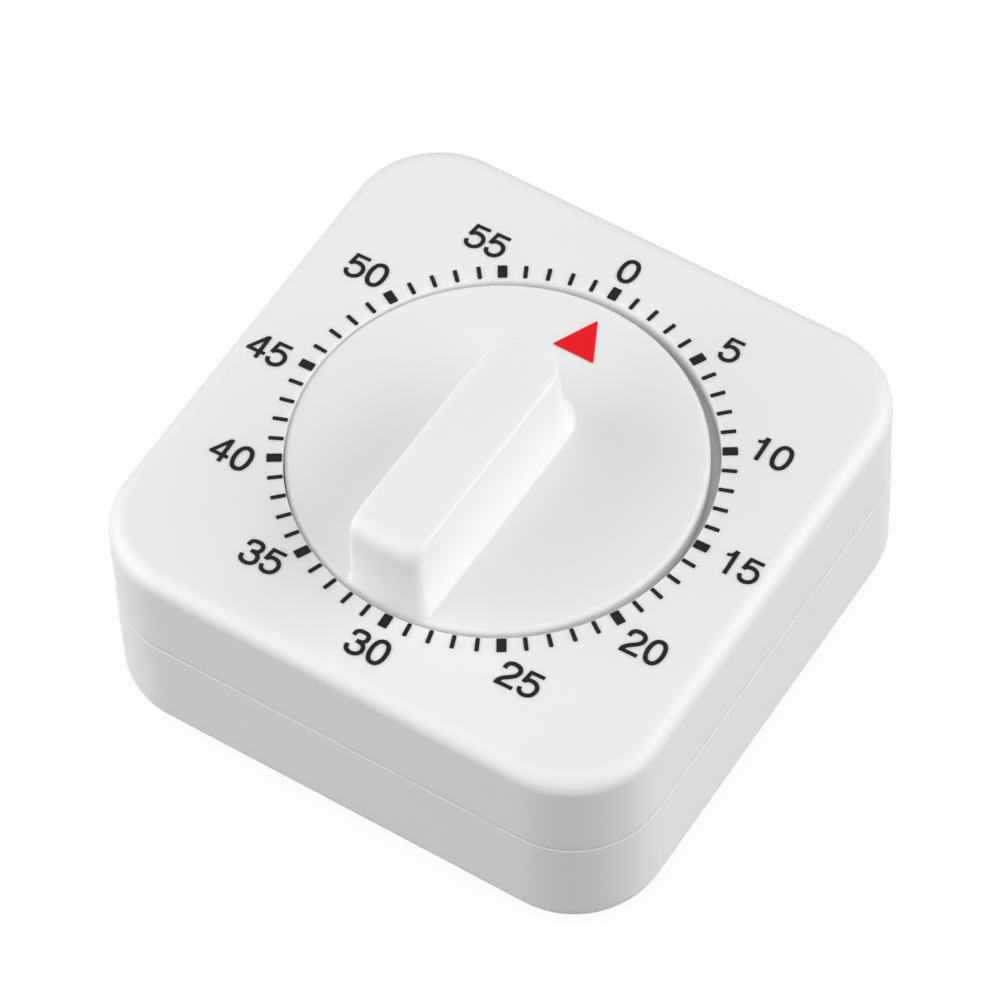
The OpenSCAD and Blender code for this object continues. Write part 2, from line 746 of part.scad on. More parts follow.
// Arbor of the train with its pinion and two pivots
module pinion_arbor(module_mm, pinion_z, wheel_t, turn) {
    low_z = bottom_plate_z + plate_t + face_gap;
    high_z = top_plate_z - face_gap;
    pitch_r = module_mm * leaves / 2;
    pinion_low = pinion_z - level_gap / 2;
    pinion_high = min(pinion_z + wheel_t + level_gap / 2, high_z);
    post(pivot_r, bottom_plate_z, top_plate_z + plate_t - bottom_plate_z);
    post(arbor_r, low_z, pinion_low - low_z);
    if (pinion_high < high_z) post(arbor_r, pinion_high, high_z - pinion_high);
    rotate(turn) translate([0, 0, pinion_low]) linear_extrude(pinion_high - pinion_low)
        polygon(toothed(leaves, pitch_r + leaf_above_share * module_mm, pitch_r - leaf_below_share * module_mm, leaf_shares));
}

module main_wheel() {
    color("gold") at_axis() translate([0, 0, main_wheel_z]) rotate(second_dir)
        train_wheel(main_teeth, main_module, main_wheel_t, main_arbor_r + pivot_gap, 2.6 * main_arbor_r, 5);
}

module clutch_washer() {
    color("silver") at_axis() translate([0, 0, washer_z]) linear_extrude(washer_t) difference() {
        circle(r = collar_r * 1.4);
        circle(r = main_arbor_r + fit_gap);
        for (i = [0:2]) rotate(i * 120) translate([collar_r * 1.15, 0]) circle(r = collar_r / 6);
    }
}

module clutch_collar() {
    color("gold") at_axis() difference() {
        post(collar_r, collar_z, collar_t);
        post(main_arbor_r + fit_gap, collar_z - over, collar_t + 2 * over);
    }
}

module second_arbor() {
    color("silver") at_axis() translate([second_xy[0], second_xy[1], 0])
        pinion_arbor(main_module, main_wheel_z, main_wheel_t, second_dir + 180 + 180 / leaves);
}

module second_wheel() {
    color("gold") at_axis() translate([second_xy[0], second_xy[1], second_wheel_z])
        rotate(heading(second_xy, third_xy))
            train_wheel(second_teeth, second_module, train_wheel_t, arbor_r + fit_gap, 3 * arbor_r, 4);
}

// Wheel with slender points
module pointed_wheel(teeth, tip_r, bore_r) {
    linear_extrude(train_wheel_t) difference() {
        polygon(toothed(teeth, tip_r, tip_r * (1 - point_share), point_shares));
        circle(r = bore_r);
    }
}

module strike_wheel() {
    color("gold") at_axis() translate([second_xy[0], second_xy[1], strike_z]) rotate(heading(second_xy, hammer_xy))
        pointed_wheel(strike_teeth, strike_r, arbor_r + fit_gap);
}

module third_arbor() {
    color("silver") at_axis() translate([third_xy[0], third_xy[1], 0])
        pinion_arbor(second_module, second_wheel_z, train_wheel_t, heading(second_xy, third_xy) + 180 + 180 / leaves);
}

module third_wheel() {
    color("gold") at_axis() translate([third_xy[0], third_xy[1], third_wheel_z])
        rotate(heading(third_xy, escape_xy))
            train_wheel(third_teeth, third_module, train_wheel_t, arbor_r + fit_gap, 3 * arbor_r, 4);
}

module escape_arbor() {
    color("silver") at_axis() translate([escape_xy[0], escape_xy[1], 0])
        pinion_arbor(third_module, third_wheel_z, train_wheel_t, heading(third_xy, escape_xy) + 180 + 180 / leaves);
}

module escape_wheel() {
    color("gold") at_axis() translate([escape_xy[0], escape_xy[1], escape_z]) rotate(heading(escape_xy, pallet_xy))
        pointed_wheel(escape_teeth, escape_r, arbor_r + fit_gap);
}

// Plain arbor between the plates with a pivot at each end
module plain_arbor() {
    post(pivot_r, bottom_plate_z, top_plate_z + plate_t - bottom_plate_z);
    post(arbor_r, bottom_plate_z + plate_t + face_gap, plate_gap - 2 * face_gap);
}

// The two pin places of a rocking arm, on the tips' circle of the wheel it works in
function pin_places(wheel_xy, arm_xy, reach, half) = [
    for (s = [-1, 1]) wheel_xy + polar(reach, heading(wheel_xy, arm_xy) + s * half)
];

pallet_pin_xy = pin_places(escape_xy, pallet_xy, escape_r + pin_r + pin_gap, pallet_half);
verge_pin_xy = pin_places(second_xy, hammer_xy, strike_r + pin_r + pin_gap, verge_half);

// Forked arm from its arbor to its two pins
module fork_2d(arbor_xy, pins) {
    difference() {
        union() {
            translate(arbor_xy) circle(r = arbor_r + lever_w / 2);
            for (p = pins) bar_2d(arbor_xy, p, lever_w / 1.4);
        }
        translate(arbor_xy) circle(r = arbor_r + fit_gap);
    }
}

module pallet_arbor() {
    color("silver") at_axis() translate([pallet_xy[0], pallet_xy[1], 0]) plain_arbor();
}

module pallet_anchor() {
    color("gold") at_axis() translate([0, 0, anchor_z]) linear_extrude(lever_t) fork_2d(pallet_xy, pallet_pin_xy);
}

// Pins that hang from a rocking arm past the wheel below it
module hanging_pins(pins, arm_z, wheel_z) {
    for (p = pins) translate([p[0], p[1], 0]) post(pin_r, wheel_z - level_gap / 2, arm_z - wheel_z + level_gap / 2);
}

module pallet_pins() {
    color("silver") at_axis() hanging_pins(pallet_pin_xy, anchor_z, escape_z);
}

module balance_bar() {
    swing_dir = pallet_dir;
    color("gold") at_axis() translate([pallet_xy[0], pallet_xy[1], low_arm_z]) rotate(swing_dir)
        linear_extrude(lever_t) difference() {
            union() {
                bar_2d([-balance_l / 2 + lever_w, 0], [balance_l / 2 - lever_w, 0], lever_w);
                for (s = [-1, 1]) translate([s * (balance_l / 2 - lever_w), 0]) circle(r = lever_w);
                circle(r = arbor_r + lever_w / 2);
            }
            circle(r = arbor_r + fit_gap);
        }
}

module stop_cam() {
    reach = cam_r + over;
    color("gold") at_axis() translate([0, 0, cam_z]) linear_extrude(lever_t) difference() {
        circle(r = cam_r);
        keyed_2d(main_arbor_r + fit_gap);
        difference() {
            polygon([[0, 0], polar(2 * reach, 90 + notch_half), polar(2 * reach, 90 - notch_half)]);
            circle(r = cam_r - notch_d);
        }
    }
}

module lever_arbor() {
    color("silver") at_axis() translate([lever_xy[0], lever_xy[1], 0]) {
        plain_arbor();
        post(pivot_r, top_plate_z, cam_z + lever_t - top_plate_z);
    }
}

module release_lever() {
    color("gold") at_axis() translate([0, 0, cam_z]) linear_extrude(lever_t) difference() {
        union() {
            bar_2d(lever_xy, nose_xy + [0, finger_l], lever_w);
            bar_2d(nose_xy, nose_xy + [0, finger_l], 2 * nose_r);
            translate(lever_xy) circle(r = arbor_r + lever_w / 2);
        }
        translate(lever_xy) circle(r = pivot_r + fit_gap);
    }
}

module blocking_arm() {
    tip_xy = lever_xy + polar(block_share * arm_span, heading(lever_xy, hammer_xy) - block_aside);
    color("gold") at_axis() translate([0, 0, low_arm_z]) linear_extrude(lever_t) arm_2d(lever_xy, tip_xy);
}

module hammer_arbor() {
    color("silver") at_axis() translate([hammer_xy[0], hammer_xy[1], 0]) {
        post(pivot_r, cock_z - 2 * face_gap, cock_t + 2 * face_gap);
        post(arbor_r, hammer_z, cock_z - face_gap - hammer_z);
    }
}

// Bracket on a post: its strap holds the pivot, its lower end is riveted in the plate
module hammer_cock() {
    foot_z = bottom_plate_z + plate_t;
    color("goldenrod") at_axis() {
        translate([0, 0, cock_z]) linear_extrude(cock_t) difference() {
            bar_2d(hammer_xy, cock_xy, 2.4 * cock_r);
            translate(hammer_xy) circle(r = pivot_r + pivot_gap);
        }
        translate([cock_xy[0], cock_xy[1], 0]) {
            post(cock_r, foot_z, cock_z + cock_t / 2 - foot_z);
            post(cock_r / 2, bottom_plate_z, plate_t + face_gap);
        }
    }
}

module hammer_verge() {
    color("gold") at_axis() translate([0, 0, verge_z]) linear_extrude(lever_t) fork_2d(hammer_xy, verge_pin_xy);
}

// Arm on an arbor, round its bore, that reaches to one place
module arm_2d(arbor_xy, to_xy) {
    difference() {
        union() {
            bar_2d(arbor_xy, to_xy, lever_w);
            translate(arbor_xy) circle(r = arbor_r + lever_w / 2);
        }
        translate(arbor_xy) circle(r = arbor_r + fit_gap);
    }
}

module hammer_tail() {
    tail_xy = hammer_xy + polar(tail_share * arm_span, heading(hammer_xy, lever_xy));
    color("gold") at_axis() translate([0, 0, low_arm_z]) linear_extrude(lever_t) arm_2d(hammer_xy, tail_xy);
}

module verge_pins() {
    color("silver") at_axis() hanging_pins(verge_pin_xy, verge_z, strike_z);
}

module hammer_arm() {
    color("gold") at_axis() translate([0, 0, hammer_z]) linear_extrude(lever_t) difference() {
        arm_2d(hammer_xy, head_xy);
        translate(head_xy) circle(r = head_r / 2 + fit_gap);
    }
}

module hammer_head() {
    color("silver") at_axis() translate([head_xy[0], head_xy[1], 0]) {
        post(head_r, hammer_z + lever_t, bell_z + bell_h - hammer_z - lever_t);
        post(head_r / 2, hammer_z, lever_t + face_gap);
    }
}

module bell() {
    color("silver") at_axis() translate([0, 0, bell_z]) rotate_extrude() difference() {
        half_section(bell_r, bell_h, bell_h / 2, 0);
        translate([0, bell_t]) half_section(bell_r - bell_t, bell_h, bell_h / 2 - bell_t, 0);
        translate([0, -over]) square([bell_hole_r + screw_gap, bell_t + 2 * over]);
    }
}

module bell_post() {
    floor_z = bell_z + bell_t;
    color("silver") at_axis() difference() {
        post(bell_post_r, floor_z, bottom_plate_z - floor_z - face_gap);
        post(bell_hole_r + screw_gap, floor_z - over, over + (bottom_plate_z - floor_z) / 2);
    }
}

module bell_screw() {
    head_h = small_head_h * 0.75;
    color("silver") at_axis() difference() {
        union() {
            post(small_head_r, bell_z - head_h, head_h);
            post(bell_hole_r, bell_z - face_gap, bell_t + face_gap + (bottom_plate_z - bell_z - bell_t) / 3);
        }
        screw_slot(bell_z - head_h - small_head_h / 2, small_head_r, small_head_h);
    }
}

top_cover();
base_cover();
case_screws();
minute_scale();
knob();
pointer_mark();
top_plate();
bottom_plate();
plate_pillars();
plate_screws();
movement_screws();
main_arbor();
mainspring();
spring_post();
main_wheel();
clutch_washer();
clutch_collar();
second_arbor();
second_wheel();
strike_wheel();
third_arbor();
third_wheel();
escape_arbor();
escape_wheel();
pallet_arbor();
pallet_anchor();
pallet_pins();
balance_bar();
stop_cam();
lever_arbor();
release_lever();
blocking_arm();
hammer_arbor();
hammer_cock();
hammer_verge();
verge_pins();
hammer_tail();
hammer_arm();
hammer_head();
bell();
bell_post();
bell_screw();
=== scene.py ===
"""Looks of a wind-up kitchen timer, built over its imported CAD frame.

The CAD nodes get their finishes here. The knob and its printed pointer are made again,
with the fine rounding of the moulding, and the printed numbers are added as thin ink on
the upper cover. The frame is in metres, with the origin under the middle of the case,
the dial's 0 towards +Y and +Z up. The pieces' own sizes are in millimetres, and those of
the camera, the lamps and the floor are in metres.
"""

import json
import logging
import math
from dataclasses import dataclass, field
from enum import Enum
from typing import Any, Sequence

import bpy
import numpy as np
from mathutils import Matrix, Vector


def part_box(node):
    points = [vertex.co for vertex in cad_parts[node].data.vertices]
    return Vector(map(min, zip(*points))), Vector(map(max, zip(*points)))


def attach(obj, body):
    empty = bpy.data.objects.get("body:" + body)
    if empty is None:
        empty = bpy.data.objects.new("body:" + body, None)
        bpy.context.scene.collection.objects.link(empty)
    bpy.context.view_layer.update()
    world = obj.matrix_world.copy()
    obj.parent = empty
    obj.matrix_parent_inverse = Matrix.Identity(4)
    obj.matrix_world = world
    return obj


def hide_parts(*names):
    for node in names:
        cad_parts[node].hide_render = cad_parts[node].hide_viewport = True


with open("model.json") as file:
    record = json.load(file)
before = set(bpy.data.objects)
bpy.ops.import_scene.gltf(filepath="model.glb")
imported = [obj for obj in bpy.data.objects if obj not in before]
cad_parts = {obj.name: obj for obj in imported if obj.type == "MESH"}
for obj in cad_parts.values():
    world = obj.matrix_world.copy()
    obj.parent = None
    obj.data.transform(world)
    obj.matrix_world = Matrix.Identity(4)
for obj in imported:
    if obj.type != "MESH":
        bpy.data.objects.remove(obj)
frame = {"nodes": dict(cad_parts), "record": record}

MM = 0.001
log = logging.getLogger("timer")

Colour = tuple[float, float, float, float]


def grey(level: float) -> Colour:
    """Linear grey that shows as this sRGB level from 0 to 255."""
    return srgb(level, level, level)


def srgb(red: float, green: float, blue: float) -> Colour:
    """Linear colour of sRGB levels from 0 to 255.

    Args:
        red: level of red.
        green: level of green.
        blue: level of blue.

    Returns:
        The linear colour with full alpha.
    """
    parts = []
    for level in (red, green, blue):
        share = level / 255
        parts.append(share / 12.92 if share <= 0.04045 else ((share + 0.055) / 1.055) ** 2.4)
    return (parts[0], parts[1], parts[2], 1.0)


class Sock:
    """A shader socket on which sums are written as plain expressions."""

    def __init__(self, tree: "ShaderTree", out: Any) -> None:
        """Keeps the tree and the output socket that this value comes from."""
        self.tree = tree
        self.out = out

    def _math(self, operation: str, first: Any, second: Any) -> "Sock":
        """Adds a Math node for one operation on two values."""
        return self.tree.node("ShaderNodeMath", {"operation": operation}, {0: first, 1: second}).pick(0)

    def __add__(self, other: Any) -> "Sock":
        """Sum of this value and another."""
        return self._math("ADD", self, other)

    __radd__ = __add__

    def __mul__(self, other: Any) -> "Sock":
        """Product of this value and another."""
        return self._math("MULTIPLY", self, other)

    __rmul__ = __mul__

    def __sub__(self, other: Any) -> "Sock":
        """This value less another."""
        return self._math("SUBTRACT", self, other)

    def __rsub__(self, other: Any) -> "Sock":
        """Another value less this one."""
        return self._math("SUBTRACT", other, self)

    def __truediv__(self, other: Any) -> "Sock":
        """This value over another."""
        return self._math("DIVIDE", self, other)

    def power(self, exponent: float) -> "Sock":
        """This value to a power."""
        return self._math("POWER", self, exponent)

    def clamp(self) -> "Sock":
        """This value held between 0 and 1."""
        return self._math("MAXIMUM", self._math("MINIMUM", self, 1.0), 0.0)

    def swing(self, size: float) -> "Sock":
        """This value, from 0 to 1, made a swing of this size to both sides of nothing."""
        return (self - 0.5) * size


class NodeHandle:
    """A node just added, whose outputs are picked by place or name."""

    def __init__(self, tree: "ShaderTree", raw: Any) -> None:
        """Keeps the tree and Blender's node."""
        self.tree = tree
        self.raw = raw

    def pick(self, which: int | str) -> Sock:
        """Output socket by its place or name."""
        return Sock(self.tree, self.raw.outputs[which])


class ShaderTree:
    """Node tree of one material, with its Principled shader."""

    def __init__(self, material: bpy.types.Material) -> None:
        """Clears the material's nodes and adds the output and the Principled shader.

        Args:
            material: the material that the tree belongs to.
        """
        material.use_nodes = True
        self.nodes = material.node_tree.nodes
        self.links = material.node_tree.links
        self.nodes.clear()
        self.output = self.nodes.new("ShaderNodeOutputMaterial")
        self.shader = self.nodes.new("ShaderNodeBsdfPrincipled")
        self.links.new(self.shader.outputs[0], self.output.inputs["Surface"])

    def node(self, kind: str, settings: dict[str, Any], values: dict[int | str, Any]) -> NodeHandle:
        """Adds a node.

        Args:
            kind: Blender's type of the node.
            settings: the node's own settings, set before its sockets.
            values: numbers, colours or sockets for its inputs.

        Returns:
            The node's handle.
        """
        raw = self.nodes.new(kind)
        for name, value in settings.items():
            setattr(raw, name, value)
        for where, value in values.items():
            self.feed(raw.inputs[where], value)
        return NodeHandle(self, raw)

    def feed(self, socket: Any, value: Any) -> None:
        """Sets a socket to a number or colour, or links it to a value.

        Args:
            socket: the input socket.
            value: a number, a colour or another socket.
        """
        if isinstance(value, Sock):
            self.links.new(value.out, socket)
        else:
            socket.default_value = value

    def surface(self, **values: Any) -> None:
        """Feeds the Principled shader's sockets, named with underscores for spaces."""
        for name, value in values.items():
            self.feed(self.shader.inputs[name.replace("_", " ")], value)

    def place(self) -> Sock:
        """Object coordinates, in metres."""
        return self.node("ShaderNodeTexCoord", {}, {}).pick("Object")

    def stretched(self, scale: tuple[float, float, float]) -> Sock:
        """Object coordinates stretched by a factor along each axis."""
        return self.node("ShaderNodeMapping", {}, {"Vector": self.place(), "Scale": scale}).pick(0)

    def noise(self, patches: float, detail: float, where: Sock | None = None) -> Sock:
        """Smooth noise from 0 to 1.

        Args:
            patches: patches per metre.
            detail: octaves of finer noise.
            where: coordinates, the object's own if left out.

        Returns:
            The noise.
        """
        at = where if where is not None else self.place()
        return self.node("ShaderNodeTexNoise", {}, {"Vector": at, "Scale": patches, "Detail": detail}).pick(0)

    def mix(self, share: Any, first: Any, second: Any) -> Sock:
        """Mix of two colours by a share from 0 to 1."""
        made = self.node("ShaderNodeMix", {"data_type": "RGBA"}, {0: share, 6: first, 7: second})
        return made.pick(2)

    def bump(self, height: Sock, depth: float) -> Sock:
        """Normal of a surface with this height from 0 to 1, times a depth in metres."""
        return self.node("ShaderNodeBump", {}, {"Strength": 1.0, "Distance": depth, "Height": height}).pick(0)


def new_material(name: str) -> tuple[bpy.types.Material, ShaderTree]:
    """Material of a name and its node tree."""
    material = bpy.data.materials.new(name)
    return material, ShaderTree(material)


@dataclass(frozen=True)
class Band:
    """A range in millimetres with soft ends."""

    low: float
    rise: float
    high: float
    fall: float

    def share(self, value: Sock) -> Sock:
        """Product of (value - low) / rise and (high - value) / fall, each held between 0 and 1."""
        return ((value - self.low) / self.rise).clamp() * ((self.high - value) / self.fall).clamp()


@dataclass(frozen=True)
class MouldedPlastic:
    """Satin moulded plastic: fine uneven gloss, faint flow shading and a slight ripple.

    The glow is painted light: an emission painted in a ring on the wall of the well that lightens the groove
    round the disc and fades towards the well's floor. Patches are counted per metre, and depths and the reach
    of the light that seeps through the plastic are in millimetres.
    """

    name: str
    colour: Colour
    shade: Colour
    roughness: float
    flow_patches: float = 60.0
    flow_shade: float = 0.5
    flow_gloss: float = 0.04
    grain_patches: float = 5200.0
    grain_shade: float = 0.15
    grain_gloss: float = 0.06
    grain_relief: float = 0.04
    ripple_patches: float = 260.0
    ripple_depth: float = 0.012
    refraction: float = 1.5
    seep: float = 0.8
    seep_reach: float = 0.8
    seep_colours: tuple[float, float, float] = (1.0, 0.95, 0.9)
    # painted light: strength of the emission painted on the well's wall, and the ring of radius and height,
    # in millimetres, where it is painted
    glow: float = 0.16
    glow_radius: Band = Band(20.9, 0.05, 21.25, 0.1)
    glow_height: Band = Band(21.8, 2.7, 24.6, 1 / 6)

    def make(self) -> bpy.types.Material:
        """Builds the material.

        Returns:
            The material.
        """
        material, tree = new_material(self.name)
        flow = tree.noise(self.flow_patches, detail=2)
        grain = tree.noise(self.grain_patches, detail=3)
        ripple = tree.noise(self.ripple_patches, detail=1)
        apart = tree.node("ShaderNodeSeparateXYZ", {}, {0: tree.place()})
        across, along, height = (apart.pick(axis) / MM for axis in range(3))
        radius = (across * across + along * along).power(0.5)
        # painted light: share of the well's wall where the emission is painted, in the ring of radius and
        # height above
        painted_light_in_well = self.glow_radius.share(radius) * self.glow_height.share(height)
        tree.surface(
            Base_Color=tree.mix(flow * self.flow_shade + grain * self.grain_shade, self.colour, self.shade),
            Roughness=self.roughness + grain.swing(self.grain_gloss) + flow.swing(self.flow_gloss),
            Normal=tree.bump(ripple + grain * self.grain_relief, self.ripple_depth * MM),
            IOR=self.refraction,
            Subsurface_Weight=self.seep,
            Subsurface_Radius=self.seep_colours,
            Subsurface_Scale=self.seep_reach * MM,
            # painted light: emission of the plastic's colour painted on the well's wall to lighten the groove
            Emission_Color=tree.mix(painted_light_in_well, grey(0), self.colour),
            Emission_Strength=self.glow,
        )
        return material


@dataclass(frozen=True)
class PrintedInk:
    """Pad-printed ink: nearly even colour with slight mottling, and less gleam than the plastic.

    Patches are counted per metre, and the relief is in millimetres.
    """

    name: str
    colour: Colour
    thin: Colour
    roughness: float = 0.42
    gleam: float = 0.15
    patches: float = 1900.0
    mottle_shade: float = 0.6
    mottle_gloss: float = 0.12
    relief: float = 0.004

    def make(self) -> bpy.types.Material:
        """Builds the material.

        Returns:
            The material.
        """
        material, tree = new_material(self.name)
        mottle = tree.noise(self.patches, detail=3)
        tree.surface(
            Base_Color=tree.mix(mottle * self.mottle_shade, self.colour, self.thin),
            Roughness=self.roughness + mottle.swing(self.mottle_gloss),
            Specular_IOR_Level=self.gleam,
            Normal=tree.bump(mottle, self.relief * MM),
        )
        return material


@dataclass(frozen=True)
class WorkedMetal:
    """Metal with fine drawn or rolled lines, a patchy tarnish and uneven gloss.

    The lines run along Y, because the noise's coordinates are stretched least along it. The
    tarnish's patches are counted per metre, and the lines' depth is in millimetres.
    """

    name: str
    colour: Colour
    tarnish: Colour
    roughness: float
    stretch: tuple[float, float, float] = (900.0, 90.0, 900.0)
    line_patches: float = 4.0
    line_gloss: float = 0.18
    line_depth: float = 0.003
    tarnish_patches: float = 220.0
    tarnish_shade: float = 0.7
    tarnish_gloss: float = 0.1

    def make(self) -> bpy.types.Material:
        """Builds the material.

        Returns:
            The material.
        """
        material, tree = new_material(self.name)
        lines = tree.noise(self.line_patches, 3, tree.stretched(self.stretch))
        patches = tree.noise(self.tarnish_patches, detail=3)
        tree.surface(
            Base_Color=tree.mix(patches * self.tarnish_shade, self.colour, self.tarnish),
            Metallic=1.0,
            Roughness=self.roughness + lines.swing(self.line_gloss) + patches.swing(self.tarnish_gloss),
            Normal=tree.bump(lines, self.line_depth * MM),
        )
        return material


class Finish(Enum):
    """The finishes, named as the record's material slots are."""

    white_abs = MouldedPlastic("white_abs", grey(236), grey(232), 0.42)
    black_ink = PrintedInk("black_ink", grey(22), grey(34))
    red_ink = PrintedInk("red_ink", srgb(226, 16, 30), srgb(236, 30, 40))
    brass = WorkedMetal("brass", srgb(192, 162, 102), srgb(160, 126, 70), 0.36)
    steel = WorkedMetal("steel", srgb(166, 168, 172), srgb(136, 138, 142), 0.3)
    zinc_steel = WorkedMetal("zinc_steel", srgb(178, 182, 188), srgb(152, 154, 152), 0.38)
    spring_steel = WorkedMetal("spring_steel", srgb(96, 104, 122), srgb(70, 74, 88), 0.3)
    bell_steel = WorkedMetal("bell_steel", srgb(188, 188, 190), srgb(164, 164, 166), 0.24)


materials: dict[Finish, bpy.types.Material] = {}


def mesh_piece(
    name: str, points: np.ndarray, faces: Sequence[Sequence[int]], smooth: bool = True
) -> bpy.types.Object:
    """Makes an object at the origin from points in millimetres.

    Args:
        name: the piece's name.
        points: array of points, one a row, in millimetres.
        faces: the points of each face, in order.
        smooth: whether its faces shade smoothly.

    Returns:
        The object.
    """
    mesh = bpy.data.meshes.new(name)
    mesh.from_pydata((points * MM).tolist(), [], [list(face) for face in faces])
    mesh.validate()
    mesh.polygons.foreach_set("use_smooth", [smooth] * len(mesh.polygons))
    piece = bpy.data.objects.new(name, mesh)
    bpy.context.scene.collection.objects.link(piece)
    return piece


def spline(points: Sequence[tuple[float, float]], steps: int, closed: bool) -> np.ndarray:
    """Smooth path through points.

    Each stretch is a cubic whose slope at a point is half the step from the point before to
    the point after it.

    Args:
        points: the points to pass through.
        steps: samples on each stretch.
        closed: whether the path returns to its start.

    Returns:
        Array of places on the path.
    """
    knots = np.array(points, float)
    if closed:
        padded = np.vstack([knots[-1:], knots, knots[:2]])
    else:
        padded = np.vstack([2 * knots[0] - knots[1], knots, 2 * knots[-1] - knots[-2]])
    before, start, end, after = padded[:-3], padded[1:-2], padded[2:-1], padded[3:]
    share = np.linspace(0, 1, steps, endpoint=False)[None, :, None]
    slope_in, slope_out = (end - before)[:, None] / 2, (after - start)[:, None] / 2
    begin, finish = start[:, None], end[:, None]
    path = (
        begin * (2 * share**3 - 3 * share**2 + 1)
        + slope_in * (share**3 - 2 * share**2 + share)
        + finish * (3 * share**2 - 2 * share**3)
        + slope_out * (share**3 - share**2)
    ).reshape(-1, 2)
    return path if closed else np.vstack([path, knots[-1:]])


def ink_stroke(
    path: np.ndarray, width: float, low: float, high: float, closed: bool
) -> tuple[np.ndarray, list[list[int]]]:
    """Carries a flat box profile along a path.

    Four corners stand at each place: half a width to the left and right of the path, at
    the lower and the upper height.

    Args:
        path: places of the stroke's middle line.
        width: the stroke's width.
        low: height of its lower face.
        high: height of its upper face.
        closed: whether the stroke is a ring.

    Returns:
        The points and the faces.
    """
    count = len(path)
    ahead = np.roll(path, -1, 0) - np.roll(path, 1, 0)
    if not closed:
        ahead[0] = path[1] - path[0]
        ahead[-1] = path[-1] - path[-2]
    ahead /= np.linalg.norm(ahead, axis=1)[:, None]
    left = np.stack([-ahead[:, 1], ahead[:, 0]], 1) * width / 2
    flat = np.stack([path - left, path + left, path + left, path - left], 1)
    heights = np.broadcast_to(np.array([low, low, high, high])[None, :, None], (count, 4, 1))
    points = np.concatenate([flat, heights], 2).reshape(-1, 3)
    here = np.arange(count if closed else count - 1)
    there = (here + 1) % count
    faces = []
    for side in range(4):
        after = (side + 1) % 4
        corners = [there * 4 + side, there * 4 + after, here * 4 + after, here * 4 + side]
        faces += np.stack(corners, 1).tolist()
    if not closed:
        faces += [[0, 1, 2, 3], [(count - 1) * 4 + k for k in (3, 2, 1, 0)]]
    return points, faces


@dataclass(frozen=True)
class Stroke:
    """One stroke of a digit, in units of which the tallest digits stand 703 high."""

    places: tuple[tuple[float, float], ...]
    width: float
    smooth: bool = True
    closed: bool = False

    def path(self) -> np.ndarray:
        """Middle line of the stroke."""
        return spline(self.places, 8, self.closed) if self.smooth else np.array(self.places, float)


class Digit(Enum):
    """The digits that the dial needs, each as its strokes."""

    zero = (
        Stroke(
            ((278, 658), (390, 612), (452, 490), (470, 342), (452, 194), (390, 72), (278, 26),
             (166, 72), (104, 194), (86, 342), (104, 490), (166, 612)), 98, True, True),
    )
    one = (
        Stroke(((312, 0), (312, 703)), 96, False),
        Stroke(((112, 518), (190, 530), (244, 570), (280, 640), (290, 703)), 72),
    )
    two = (
        Stroke(((76, 456), (88, 560), (150, 634), (262, 656), (376, 632), (446, 560), (448, 462),
                (392, 366), (292, 286), (180, 204), (108, 118), (80, 44)), 98),
        Stroke(((36, 44), (507, 44)), 88, False),
    )
    three = (
        Stroke(((88, 486), (104, 590), (172, 646), (268, 658), (372, 640), (434, 576), (436, 478),
                (380, 404), (282, 380), (222, 379)), 94),
        Stroke(((222, 376), (300, 374), (412, 336), (468, 254), (466, 146), (398, 62), (282, 26),
                (166, 48), (98, 112), (80, 218)), 96),
    )
    four = (
        Stroke(((376, 0), (376, 703)), 92, False),
        Stroke(((25, 202), (523, 202)), 84, False),
        Stroke(((62, 196), (352, 648)), 84, False),
    )
    five = (
        Stroke(((110, 646), (478, 646)), 84, False),
        Stroke(((136, 688), (78, 330)), 84, False),
        Stroke(((84, 356), (160, 424), (270, 444), (384, 410), (458, 318), (464, 204), (410, 92), (296, 30),
                (184, 36), (106, 92), (78, 186)), 94),
    )


